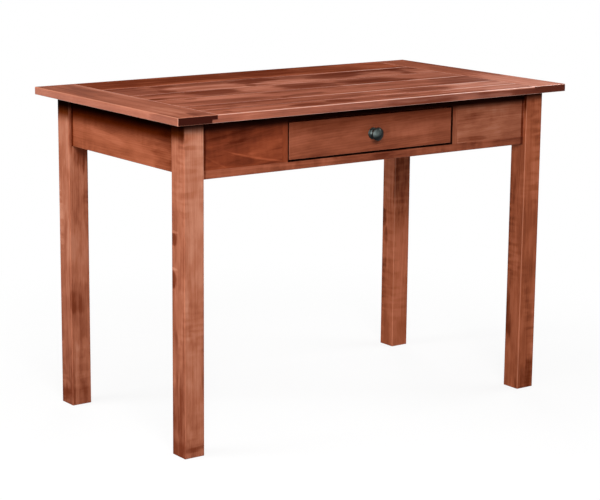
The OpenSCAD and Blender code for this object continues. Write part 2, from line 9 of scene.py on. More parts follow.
import bpy
import numpy as np
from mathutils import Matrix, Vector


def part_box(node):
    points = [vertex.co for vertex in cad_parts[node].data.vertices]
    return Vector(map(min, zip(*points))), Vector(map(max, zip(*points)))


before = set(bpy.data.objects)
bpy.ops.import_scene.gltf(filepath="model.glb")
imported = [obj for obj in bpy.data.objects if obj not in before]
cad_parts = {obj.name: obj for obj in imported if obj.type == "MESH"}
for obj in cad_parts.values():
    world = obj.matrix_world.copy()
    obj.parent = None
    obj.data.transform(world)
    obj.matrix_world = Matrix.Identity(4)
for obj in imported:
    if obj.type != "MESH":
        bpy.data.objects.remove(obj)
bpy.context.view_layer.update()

MM = 0.001


# Small helpers for colours and node trees

def colour(red, green, blue):
    """A colour written as it looks on a screen, turned into Blender's linear values."""
    def linear(value):
        value = value / 255
        return value / 12.92 if value <= 0.04045 else ((value + 0.055) / 1.055) ** 2.4
    return (linear(red), linear(green), linear(blue), 1.0)


def fill(tree, node, inputs):
    """Joins a node's inputs to the outputs of others, or fills them with values."""
    for key, value in inputs.items():
        if isinstance(value, bpy.types.NodeSocket):
            tree.links.new(value, node.inputs[key])
        else:
            node.inputs[key].default_value = value
    return node


def add(tree, kind, inputs=None, **settings):
    """Adds a node, sets it up and joins or fills its inputs."""
    node = tree.nodes.new(kind)
    for name, value in settings.items():
        setattr(node, name, value)
    return fill(tree, node, inputs or {})


def place(tree, group, inputs):
    """Puts a group into a material with its own values."""
    node = tree.nodes.new("ShaderNodeGroup")
    node.node_tree = group
    return fill(tree, node, inputs)


def maths(tree, operation, first, second=0.5, clamp=False):
    """One sum on plain numbers."""
    node = add(tree, "ShaderNodeMath", {0: first, 1: second}, operation=operation, use_clamp=clamp)
    return node.outputs[0]


def most(tree, first, *others):
    """The largest of some numbers."""
    for other in others:
        first = maths(tree, "MAXIMUM", first, other)
    return first


def total(tree, first, *others):
    """The sum of some numbers."""
    for other in others:
        first = maths(tree, "ADD", first, other)
    return first


def vectors(tree, operation, first, second):
    """One sum on vectors."""
    return add(tree, "ShaderNodeVectorMath", {0: first, 1: second}, operation=operation).outputs[0]


def length(tree, vector):
    """The length of a vector."""
    return add(tree, "ShaderNodeVectorMath", {0: vector}, operation="LENGTH").outputs["Value"]


def sizes(tree, vector):
    """A vector with the sign of its parts taken off."""
    return add(tree, "ShaderNodeVectorMath", {0: vector}, operation="ABSOLUTE").outputs[0]


def agreement(tree, first, second):
    """How far two directions agree: 1 for the same, 0 for square to each other."""
    return add(tree, "ShaderNodeVectorMath", {0: first, 1: second},
               operation="DOT_PRODUCT").outputs["Value"]


def parts(tree, vector):
    """The X, Y and Z parts of a vector."""
    return add(tree, "ShaderNodeSeparateXYZ", {0: vector}).outputs


def spread(tree, value, low, high, to_low=0.0, to_high=1.0, smooth=True):
    """Stretches the values between low and high, and holds them at the ends."""
    node = add(tree, "ShaderNodeMapRange", {0: value, 1: low, 2: high, 3: to_low, 4: to_high},
               interpolation_type="SMOOTHSTEP" if smooth else "LINEAR")
    return node.outputs[0]


def blend(tree, factor, first, second, mode="MIX"):
    """Mixes two colours."""
    node = add(tree, "ShaderNodeMix", {0: factor, 6: first, 7: second},
               data_type="RGBA", blend_type=mode)
    return node.outputs[2]


def waves(along, across):
    """Waves of noise in each metre along the grain and across it, for X, Y and Z."""
    return (along, across, across)


def noise(tree, vector, stretch, detail=2.0, roughness=0.5, output="Fac"):
    """Noise with its own number of waves in each metre along each axis."""
    scaled = vectors(tree, "MULTIPLY", vector, stretch)
    return add(tree, "ShaderNodeTexNoise", {"Vector": scaled, "Scale": 1.0, "Detail": detail,
                                            "Roughness": roughness}).outputs[output]


def noise_mask(tree, vector, stretch, low, high, detail=2.0, roughness=0.5):
    """A mask that is 0 where the noise is under low, and 1 where it is over high."""
    return spread(tree, noise(tree, vector, stretch, detail, roughness), low, high)


def new_group(name, inputs, outputs):
    """A shader group with named sockets. Returns the group with its first and last node."""
    group = bpy.data.node_groups.new(name, "ShaderNodeTree")
    kinds = {"vector": "NodeSocketVector", "value": "NodeSocketFloat", "colour": "NodeSocketColor"}
    for label, kind in inputs:
        group.interface.new_socket(label, in_out="INPUT", socket_type=kinds[kind])
    for label, kind in outputs:
        group.interface.new_socket(label, in_out="OUTPUT", socket_type=kinds[kind])
    return group, group.nodes.new("NodeGroupInput"), group.nodes.new("NodeGroupOutput")


def new_material(name):
    """A material without nodes, and its tree."""
    material = bpy.data.materials.new(name)
    material.use_nodes = True
    material.node_tree.nodes.clear()
    return material, material.node_tree


# Shader groups

# Shares of a year ring at which its late wood starts to darken and is darkest
LATE_START, LATE_END = 0.30, 0.92
# How much deeper in tone a pore is, and how high a year ring stands next to a pinstripe
PORE_DEPTH = 0.10
RING_RELIEF = 0.4

# Cosines of the angle between a face and an axis: where end grain, an eased arris and an
# upright face start, and where each is full
END_GRAIN_LIMITS = (0.72, 0.9)
ARRIS_LIMITS = (0.99, 0.86)
UPRIGHT_LIMITS = (0.9, 0.4)

# The middle of a spot times these moves its noise, so that no two spots fray alike
SPOT_SHIFT = (7.1, 5.3, 3.7)
# Where a spot ends and where it is full, in half sizes from its middle
SPOT_END, SPOT_FULL = 1.16, 0.70
# How strong a spot is in its strong and in its weak streaks
STRONG_STREAK, WEAK_STREAK = 1.2, 0.8

# Where each tone of a stain lies on the scale of depth. The rubbed tone is partly wear and partly
# painted highlight.
RUBBED_HIGHLIT_DEPTH, PALE_DEPTH, MIDDLE_DEPTH, DEEP_DEPTH, DARKEST_DEPTH = -0.7, 0.0, 0.5, 1.0, 1.8

# What the wood is multiplied by at the darkest depth, in the painted shade under the top and in the
# painted shadow nearer to it
DARKEST_TINT = (0.60, 0.42, 0.34, 1.0)
SHADE_TINT = (0.28, 0.15, 0.05, 1.0)
PAINTED_SHADOW_TINT = (0.07, 0.06, 0.07, 1.0)

# Roughness of the palest and the deepest tone, and how much rougher end grain is
PALE_ROUGHNESS, DEEP_ROUGHNESS, END_ROUGHER = 0.50, 0.62, 0.2
# Polish that an arris has besides that of the flats, as far as it is rubbed and painted lighter
ARRIS_POLISH = 0.8
# Depths between which the wood soaks up its polish, and the share that it soaks up in the end
SOAK_START, SOAK_FULL, SOAKED_SHARE = 0.75, 1.1, 0.7


def make_figure_group():
    """Figure of sawn maple, with the grain along X and the heart of the tree on the X axis.

    Year rings are the distance from that axis, bent by slow noise and divided by the ring width.
    Lenses, streaks, pinstripes, blotches and curl are noise stretched along or across the grain.
    Depth is how far each place is from the middle tone, and each share is how much a mask gives."""
    group, start, end = new_group(
        "Maple figure",
        [("Position", "vector"), ("Seed", "vector"), ("Ring width", "value"), ("Bend", "value"),
         ("Rings", "value"), ("Lenses", "value"), ("Streaks", "value"), ("Pinstripes", "value"),
         ("Blotches", "value"), ("Curl", "value")],
        [("Depth", "value"), ("Relief", "value")])
    position = start.outputs["Position"]
    shifted = vectors(group, "ADD", position, start.outputs["Seed"])

    slow = noise(group, shifted, waves(1.8, 8.0), detail=1.0, output="Color")
    centred = vectors(group, "SUBTRACT", slow, (0.5, 0.5, 0.5))
    bend = add(group, "ShaderNodeVectorMath", {0: centred, "Scale": start.outputs["Bend"]},
               operation="SCALE").outputs[0]
    _, aside, above = parts(group, vectors(group, "ADD", position, bend))
    radius = length(group, add(group, "ShaderNodeCombineXYZ", {1: aside, 2: above}).outputs[0])
    year = maths(group, "FRACT", maths(group, "DIVIDE", radius, start.outputs["Ring width"]))
    late_wood = spread(group, year, LATE_START, LATE_END)
    next_spring = spread(group, year, LATE_END, 1.0, 1.0, 0.0)
    rings = maths(group, "MULTIPLY", late_wood, next_spring)

    flow = vectors(group, "ADD", shifted, bend)
    lenses = noise_mask(group, flow, waves(2.6, 19.0), 0.40, 0.60)
    streaks = noise_mask(group, flow, waves(3.4, 75.0), 0.34, 0.66, detail=3.0, roughness=0.55)
    pinstripes = noise_mask(group, flow, waves(2.2, 300.0), 0.3, 0.7, roughness=0.6)
    pores = noise_mask(group, shifted, waves(70.0, 1500.0), 0.45, 0.7, detail=1.0)
    blotches = noise_mask(group, shifted, waves(11.0, 28.0), 0.36, 0.64, detail=3.0,
                          roughness=0.55)
    ripples = noise_mask(group, shifted, waves(80.0, 16.0), 0.36, 0.64, detail=1.5,
                         roughness=0.45)
    rippled = noise_mask(group, shifted, waves(4.0, 12.0), 0.45, 0.62, detail=1.0)

    def share(mask, name):
        """A mask about its middle, times its share."""
        return maths(group, "MULTIPLY", maths(group, "SUBTRACT", mask, 0.5), start.outputs[name])

    depth = total(group, share(rings, "Rings"), share(lenses, "Lenses"),
                  share(streaks, "Streaks"), share(pinstripes, "Pinstripes"),
                  share(blotches, "Blotches"),
                  maths(group, "MULTIPLY", rippled, share(ripples, "Curl")),
                  maths(group, "MULTIPLY", pores, PORE_DEPTH))
    raised = maths(group, "ADD", maths(group, "MULTIPLY", rings, RING_RELIEF), pinstripes)
    fill(group, end, {"Depth": depth, "Relief": maths(group, "SUBTRACT", raised, pores)})
    return group


def make_faces_group():
    """Masks from the way a surface faces: the end grain, the eased arrises between flat faces, the
    sides that look left or right, and whatever stands upright."""
    group, start, end = new_group(
        "Faces", [("Normal", "vector"), ("Grain", "vector")],
        [("End grain", "value"), ("Arris", "value"), ("Side", "value"), ("Upright", "value")])
    normal = start.outputs["Normal"]
    along = maths(group, "ABSOLUTE", agreement(group, normal, start.outputs["Grain"]))
    left_right, front_back, up_down = parts(group, sizes(group, normal))
    squarest = most(group, left_right, front_back, up_down)
    fill(group, end, {"End grain": spread(group, along, *END_GRAIN_LIMITS),
                      "Arris": spread(group, squarest, *ARRIS_LIMITS),
                      "Side": left_right,
                      "Upright": spread(group, up_down, *UPRIGHT_LIMITS)})
    return group


def make_spot_group():
    """A soft spot of darker or paler wood, such as a knot, a lens or a swoosh in the figure, or a
    painted shadow or highlight.

    It is one inside a rounded block whose edge is frayed along the grain. Across the grain the
    block follows a parabola: slope times the distance along the grain, plus bow times its
    square. Streaks of the noise that frays it also run through it."""
    group, start, end = new_group(
        "Spot",
        [("Position", "vector"), ("Centre", "vector"), ("Half size", "vector"),
         ("Slope", "value"), ("Bow", "value"), ("Fray", "value"), ("Depth", "value")],
        [("Depth", "value")])
    position, centre = start.outputs["Position"], start.outputs["Centre"]
    away = vectors(group, "SUBTRACT", position, centre)
    along = parts(group, away)[0]
    steepness = maths(group, "ADD", start.outputs["Slope"],
                      maths(group, "MULTIPLY", along, start.outputs["Bow"]))
    rise = maths(group, "MULTIPLY", along, steepness)
    bent = vectors(group, "SUBTRACT", away,
                   add(group, "ShaderNodeCombineXYZ", {1: rise, 2: rise}).outputs[0])
    scaled = vectors(group, "DIVIDE", bent, start.outputs["Half size"])

    seeded = vectors(group, "ADD", position, vectors(group, "MULTIPLY", centre, SPOT_SHIFT))
    frayed = noise(group, seeded, waves(9.0, 80.0), detail=4.0, roughness=0.6)

    # Halfway between an ellipsoid and a block with well rounded edges
    boxy = maths(group, "SQRT", length(group, vectors(group, "MULTIPLY", scaled, scaled)))
    distance = maths(group, "MULTIPLY", maths(group, "ADD", boxy, length(group, scaled)), 0.5)
    push = maths(group, "MULTIPLY", maths(group, "SUBTRACT", frayed, 0.5), start.outputs["Fray"])
    mask = spread(group, maths(group, "ADD", distance, push), SPOT_END, SPOT_FULL)
    streaks = spread(group, frayed, 0.36, 0.64, STRONG_STREAK, WEAK_STREAK)
    streaked = maths(group, "MULTIPLY", mask, streaks)
    fill(group, end, {"Depth": maths(group, "MULTIPLY", streaked, start.outputs["Depth"])})
    return group


def make_gap_group():
    """Painted shadow line where two pieces nearly touch, the shade inside the gap: 1 on the sides
    of an upright box and 0 beyond a little way from them, inside or outside."""
    group, start, end = new_group(
        "Gap shadow line", [("Position", "vector"), ("Centre", "vector"), ("Half size", "vector"),
                     ("Reach", "value")], [("Gap", "value")])
    away = sizes(group, vectors(group, "SUBTRACT", start.outputs["Position"],
                                start.outputs["Centre"]))
    wide, _, high = parts(group, vectors(group, "SUBTRACT", away, start.outputs["Half size"]))
    outside = maths(group, "ABSOLUTE", most(group, wide, high))
    share = maths(group, "DIVIDE", outside, start.outputs["Reach"])
    fill(group, end, {"Gap": spread(group, share, 0.3, 1.0, 1.0, 0.0)})
    return group


def make_stain_group():
    """Colour, sheen and polish of the stained wood. Depth 0 is the pale tone, a half the middle
    tone and 1 the deep tone. Below 0 it nears the rubbed tone, which is partly wear and partly
    painted highlight, and above 1 it darkens on. Arrises are rubbed, painted lighter as a
    highlight, and polished, and Edge is the polish that upright faces have besides. Shade is
    painted shade, the warm dark at the edge of the shadow under the top, and the painted shadow is
    the near black of that shadow and of the gaps. Neither has polish, and the deep figure, which
    soaks up the finish, has little."""
    group, start, end = new_group(
        "Maple stain",
        [("Pale", "colour"), ("Middle", "colour"), ("Deep", "colour"), ("End", "colour"),
         ("Rubbed and highlit", "colour"), ("Rub and highlight", "value"), ("Polish", "value"), ("Depth", "value"),
         ("End grain", "value"), ("Arris", "value"), ("Upright", "value"), ("Edge", "value"),
         ("Shade", "value"), ("Painted shadow", "value")],
        [("Colour", "colour"), ("Roughness", "value"), ("Polish", "value")])
    given = start.outputs
    depth, end_grain = given["Depth"], given["End grain"]

    def between(low, high):
        """How far the depth has come from one tone to the next."""
        return spread(group, depth, low, high, smooth=False)

    tone = blend(group, between(RUBBED_HIGHLIT_DEPTH, PALE_DEPTH), given["Rubbed and highlit"], given["Pale"])
    tone = blend(group, between(PALE_DEPTH, MIDDLE_DEPTH), tone, given["Middle"])
    tone = blend(group, between(MIDDLE_DEPTH, DEEP_DEPTH), tone, given["Deep"])
    tone = blend(group, between(DEEP_DEPTH, DARKEST_DEPTH), tone, DARKEST_TINT, "MULTIPLY")
    # Arrises take the rubbed tone: partly wear of the stain, partly a painted highlight
    arris = maths(group, "MULTIPLY", given["Arris"], given["Rub and highlight"])
    tone = blend(group, arris, tone, given["Rubbed and highlit"])
    tone = blend(group, end_grain, tone, given["End"])
    # Painted shade and painted shadow under the top and in the gaps, laid over the colour
    tone = blend(group, given["Shade"], tone, SHADE_TINT, "MULTIPLY")
    tone = blend(group, given["Painted shadow"], tone, PAINTED_SHADOW_TINT, "MULTIPLY")

    sheen = spread(group, depth, PALE_DEPTH, DEEP_DEPTH, PALE_ROUGHNESS, DEEP_ROUGHNESS,
                   smooth=False)
    roughness = maths(group, "ADD", sheen, maths(group, "MULTIPLY", end_grain, END_ROUGHER))

    soaked = spread(group, depth, SOAK_START, SOAK_FULL, 0.0, SOAKED_SHARE)
    dull = most(group, given["Painted shadow"], given["Shade"], end_grain, soaked)
    shiny = total(group, given["Polish"], maths(group, "MULTIPLY", arris, ARRIS_POLISH),
                  maths(group, "MULTIPLY", given["Upright"], given["Edge"]))
    polish = maths(group, "MULTIPLY", shiny, maths(group, "SUBTRACT", 1.0, dull), clamp=True)
    fill(group, end, {"Colour": tone, "Roughness": roughness, "Polish": polish})
    return group


FIGURE = make_figure_group()
FACES = make_faces_group()
SPOT = make_spot_group()
GAP = make_gap_group()
STAIN = make_stain_group()


# Stains and figure

def stain(pale, middle, deep, end, rubbed_highlit, rub_highlight, polish, edge=0.0):
    """A stain's tones, how far its arrises are rubbed and painted lighter as a highlight, how much
    polish its flats have, and how much more its upright faces have."""
    return {"Pale": colour(*pale), "Middle": colour(*middle), "Deep": colour(*deep),
            "End": colour(*end), "Rubbed and highlit": colour(*rubbed_highlit), "Rub and highlight": rub_highlight, "Polish": polish,
            "Edge": edge}


def shares(rings, lenses, streaks, pinstripes, blotches, curl=0.0):
    """How much each mask of the figure gives to the depth of the tone."""
    return {"Rings": rings, "Lenses": lenses, "Streaks": streaks, "Pinstripes": pinstripes,
            "Blotches": blotches, "Curl": curl}


TOP_STAIN = stain((190, 114, 88), (154, 80, 53), (115, 53, 32), (56, 22, 16), (224, 171, 153),
                  rub_highlight=0.8, polish=0.36, edge=0.55)
LEFT_STAIN = stain((190, 118, 92), (160, 88, 62), (114, 56, 38), (56, 22, 16), (214, 150, 124),
                   rub_highlight=0.4, polish=0.36, edge=0.25)
RIGHT_STAIN = stain((190, 114, 88), (154, 80, 53), (115, 52, 30), (92, 44, 32), (222, 164, 144),
                    rub_highlight=0.7, polish=0.26, edge=0.55)
LEG_STAIN = stain((190, 128, 103), (163, 96, 70), (118, 56, 34), (60, 30, 22), (204, 136, 108),
                  rub_highlight=0.14, polish=0.10)
RIGHT_LEG_STAIN = stain((186, 108, 78), (158, 84, 54), (112, 50, 26), (60, 30, 22),
                        (200, 130, 100), rub_highlight=0.4, polish=0.10)
FRAME_STAIN = stain((172, 98, 72), (140, 74, 50), (96, 42, 25), (60, 30, 22), (180, 108, 82),
                    rub_highlight=0.15, polish=0.10)
PANEL_STAIN = stain((160, 80, 50), (126, 57, 32), (84, 32, 15), (60, 30, 22), (166, 92, 66),
                    rub_highlight=0.05, polish=0.10)
APRON_STAIN = stain((178, 102, 73), (152, 81, 53), (112, 50, 26), (60, 30, 22), (186, 112, 84),
                    rub_highlight=0.2, polish=0.08)
# The drawer front's arrises are painted lighter still, as a highlight along its edges
DRAWER_STAIN = {**FRAME_STAIN, "Rub and highlight": 0.45}
BOX_WOOD = stain((214, 182, 142), (196, 160, 118), (158, 122, 84), (150, 116, 80),
                 (220, 190, 150), rub_highlight=0.3, polish=0.05)
INNER_WOOD = stain((204, 168, 124), (180, 142, 98), (140, 104, 68), (136, 100, 66),
                   (208, 174, 132), rub_highlight=0.3, polish=0.0)

TOP_FIGURE = shares(rings=0.10, lenses=0.30, streaks=0.30, pinstripes=0.12, blotches=0.12)
ENDS_FIGURE = shares(rings=0.05, lenses=0.14, streaks=0.14, pinstripes=0.10, blotches=0.12)
LEG_FIGURE = shares(rings=0.08, lenses=0.10, streaks=0.10, pinstripes=0.20, blotches=0.28,
                    curl=0.35)
CALM_LEG_FIGURE = {**LEG_FIGURE, "Curl": 0.24}
FRAME_FIGURE = shares(rings=0.16, lenses=0.25, streaks=0.16, pinstripes=0.12, blotches=0.30,
                      curl=0.15)
PANEL_FIGURE = shares(rings=0.10, lenses=0.16, streaks=0.12, pinstripes=0.12, blotches=0.22,
                      curl=0.08)
APRON_FIGURE = shares(rings=0.10, lenses=0.10, streaks=0.10, pinstripes=0.10, blotches=0.20,
                      curl=0.12)
PLAIN_FIGURE = shares(rings=0.18, lenses=0.20, streaks=0.25, pinstripes=0.20, blotches=0.08)

# How each grain direction is turned onto X, and its direction
TURNS = {"x": ((0, 0, 0), (1, 0, 0)),
         "y": ((0, 0, -math.pi / 2), (0, 1, 0)),
         "z": ((0, math.pi / 2, 0), (0, 0, 1))}

# Steps in metres by which each next piece is cut from another part of the noise
SEED_STEPS = (3.71, 1.93, 2.57)

# Height of the open grain in metres, how strongly it shows, and the roughness of the polish
GRAIN_HEIGHT, GRAIN_STRENGTH = 0.2 * MM, 0.25
POLISH_ROUGHNESS = 0.17

# The drawer's opening in mm: half its width and half its height, the height of its middle, and how
# far the painted shadow line in the gap round it reaches
OPENING = (238, 45)
OPENING_MIDDLE = 680
GAP_REACH = 1.3


def turned_point(grain, point):
    """A point in mm, turned as its piece's grain is, in metres."""
    x, y, z = (value * MM for value in point)
    return {"x": (x, y, z), "y": (y, -x, z), "z": (z, y, -x)}[grain]


def turned_size(grain, size):
    """Half sizes in mm, put in the order of the turned axes, in metres."""
    x, y, z = (value * MM for value in size)
    return {"x": (x, y, z), "y": (y, x, z), "z": (z, y, x)}[grain]


def spotted(tree, depth, turned, grain, spots):
    """The depth of the tone with a piece's spots added."""
    for mark in spots:
        one = place(tree, SPOT, {
            "Position": turned, "Centre": turned_point(grain, mark["at"]),
            "Half size": turned_size(grain, mark["size"]), "Slope": mark["slope"],
            "Bow": mark["bow"], "Fray": mark["fray"], "Depth": mark["depth"]})
        depth = maths(tree, "ADD", depth, one.outputs["Depth"])
    return depth


def shadow_band(tree, position, band, side):
    """How strong a painted band under the top, of shade or of shadow, is at a height: band is its
    lower and upper end in mm, its strength, and the share of it that faces to the front or back
    also get."""
    low, high, strength, share = band
    mask = spread(tree, parts(tree, position)["Z"], low * MM, high * MM, 0.0, strength)
    return maths(tree, "MULTIPLY", mask, spread(tree, side, 0.0, 1.0, share, 1.0, smooth=False))


def gap_shadow_line(tree, position, half_size):
    """The painted shadow line in the gap round the drawer's opening."""
    half_width, half_height = (value * MM for value in half_size)
    return place(tree, GAP, {
        "Position": position, "Centre": (0.0, 0.0, OPENING_MIDDLE * MM),
        "Half size": (half_width, 1.0, half_height), "Reach": GAP_REACH * MM}).outputs["Gap"]


def painted_shadow_bands(tree, position, side, shade, glaze, gap):
    """A piece's painted shade and painted shadow: the bands under the top where the overhang casts
    its shadow, and the painted shadow line in the gap round the opening laid over them."""
    dark = {"Shade": 0.0, "Painted shadow": 0.0}
    if shade:
        dark["Shade"] = shadow_band(tree, position, shade, side)
    if glaze:
        dark["Painted shadow"] = shadow_band(tree, position, glaze, side)
    if gap:
        line = gap_shadow_line(tree, position, gap)
        dark["Painted shadow"] = most(tree, line, dark["Painted shadow"]) if glaze else line
    return dark


def show_wood(tree, finish, relief):
    """The wood's shader: its colour under a thin polish, with the open grain as a bump."""
    bump = add(tree, "ShaderNodeBump", {"Height": relief, "Strength": GRAIN_STRENGTH,
                                        "Distance": GRAIN_HEIGHT})
    shader = add(tree, "ShaderNodeBsdfPrincipled", {
        "Base Color": finish["Colour"], "Roughness": finish["Roughness"],
        "Coat Weight": finish["Polish"], "Coat Roughness": POLISH_ROUGHNESS,
        "Specular IOR Level": 0.0, "Normal": bump.outputs[0]})
    add(tree, "ShaderNodeOutputMaterial", {"Surface": shader.outputs[0]})


def wood(name, grain, tones, figure, heart, seed, tone=0.0, side=0.0, ring=3.2, bend=0.03,
         tilt=0.0, spots=(), shade=None, glaze=None, gap=None, polish=None):
    """Maple with its own figure. heart is a point in mm on the line through the middle of the tree,
    tilt is the angle between that line and the piece, and ring is the ring width in mm. tone moves
    the whole piece towards its deep stain, and side does so on the faces that look left or right,
    as painted shade for how those faces are lit. shade and glaze are bands of painted shade and
    painted shadow under the top, where the overhang casts its shadow, and gap is the half width and
    half height in mm of the painted shadow line in the gap round the drawer's opening. polish
    replaces that of the stain."""
    if polish is not None:
        tones = {**tones, "Polish": polish}
    material, tree = new_material(name)
    coordinates = add(tree, "ShaderNodeTexCoord").outputs
    position = coordinates["Object"]
    turn, direction = TURNS[grain]
    turned = add(tree, "ShaderNodeMapping", {"Vector": position, "Rotation": turn}).outputs[0]
    from_heart = vectors(tree, "SUBTRACT", turned, turned_point(grain, heart))
    tilted = add(tree, "ShaderNodeMapping", {"Vector": from_heart, "Rotation": (0.0, tilt, 0.0)})
    drawn = place(tree, FIGURE, {
        "Position": tilted.outputs[0], "Ring width": ring * MM, "Bend": bend,
        "Seed": tuple(seed * step for step in SEED_STEPS), **figure}).outputs
    faces = place(tree, FACES, {"Normal": coordinates["Normal"], "Grain": direction}).outputs

    depth = maths(tree, "ADD", drawn["Depth"], MIDDLE_DEPTH + tone)
    depth = spotted(tree, depth, turned, grain, spots)
    # Faces that look left or right are made deeper or paler: painted shade for how those faces are
    # lit
    if side:
        depth = maths(tree, "ADD", depth, maths(tree, "MULTIPLY", faces["Side"], side))

    dark = painted_shadow_bands(tree, position, faces["Side"], shade, glaze, gap)
    finish = place(tree, STAIN, {
        **tones, **dark, "Depth": depth, "End grain": faces["End grain"],
        "Arris": faces["Arris"], "Upright": faces["Upright"]}).outputs
    show_wood(tree, finish, drawn["Relief"])
    return material


def dress(node, material):
    """Gives a CAD node its finish."""
    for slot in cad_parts[node].material_slots:
        slot.material = material


def dress_in_stain(node, *settings, **more):
    """Gives a CAD node a stained wood of its own, with the settings of wood()."""
    dress(node, wood(node + "_stain", *settings, **more))


def dress_in_plain_wood(node, *settings, **more):
    """Gives a CAD node of the inside an unstained wood of its own."""
    dress(node, wood(node + "_finish", *settings, **more))


# Spots of the figure, where the photograph has them. Their middles and half sizes are in mm.
# Some spots are painted shadows, shade or highlights; comments mark those.

# A half size that goes right through a piece
THROUGH = 200
# Heights of the top's upper side, of its middle, and of the middle of its front edge
TOP_Z, TOP_MIDDLE_Z, EDGE_Z = 762, 753, 752
# Just before the top's front edge, a depth inside the front's boards, and a place inside the
# left end apron
EDGE_Y, FRONT_Y, END_X = -316, -255, -498
# The left faces of the left legs, and those of the right legs
LEFT_LEG_X, RIGHT_LEG_X = -516, 465


def spot(at, size, depth, slope=0.0, bow=0.0, fray=1.9):
    """One spot: its middle and half sizes along X, Y and Z in mm, and how much deeper in tone
    it is, or paler where depth is below 0."""
    return {"at": at, "size": size, "depth": depth, "slope": slope, "bow": bow, "fray": fray}


def flat_spot(x, y, half_x, half_y, depth, slope=0.0, bow=0.0, fray=1.9):
    """A spot on the top, right through the board."""
    return spot((x, y, TOP_MIDDLE_Z), (half_x, half_y, THROUGH), depth, slope, bow, fray)


def edge_spot(x, half_x, depth):
    """A darker stretch of the top's front edge."""
    return spot((x, EDGE_Y, EDGE_Z), (half_x, 12, 40), depth, fray=0.4)


def seam_glint_line(x, y, half_x, depth=-1.4):
    """A painted highlight along a glued joint: the glint of the boards' eased edges, painted as a
    paler line.
    """
    return spot((x, y, TOP_Z), (half_x, 3.5, 20), depth, fray=0.25)


def front_spot(x, z, half_x, half_z, depth, slope=0.0, bow=0.0, fray=1.9):
    """A spot on a piece of the front, right through it."""
    return spot((x, FRONT_Y, z), (half_x, THROUGH, half_z), depth, slope, bow, fray)


def end_spot(y, z, half_y, half_z, depth, slope=0.0, bow=0.0, fray=1.9):
    """A spot on the left end apron, right through it."""
    return spot((END_X, y, z), (THROUGH, half_y, half_z), depth, slope, bow, fray)


def left_leg_spot(y, z, half_y, half_z, depth, fray=1.9):
    """A spot on the left face of a left leg."""
    return spot((LEFT_LEG_X, y, z), (20, half_y, half_z), depth, fray=fray)


def right_leg_spot(y, z, half_y, half_z, depth, half_x=20):
    """A spot on the left face of a right leg."""
    return spot((RIGHT_LEG_X, y, z), (half_x, half_y, half_z), depth)


# The top

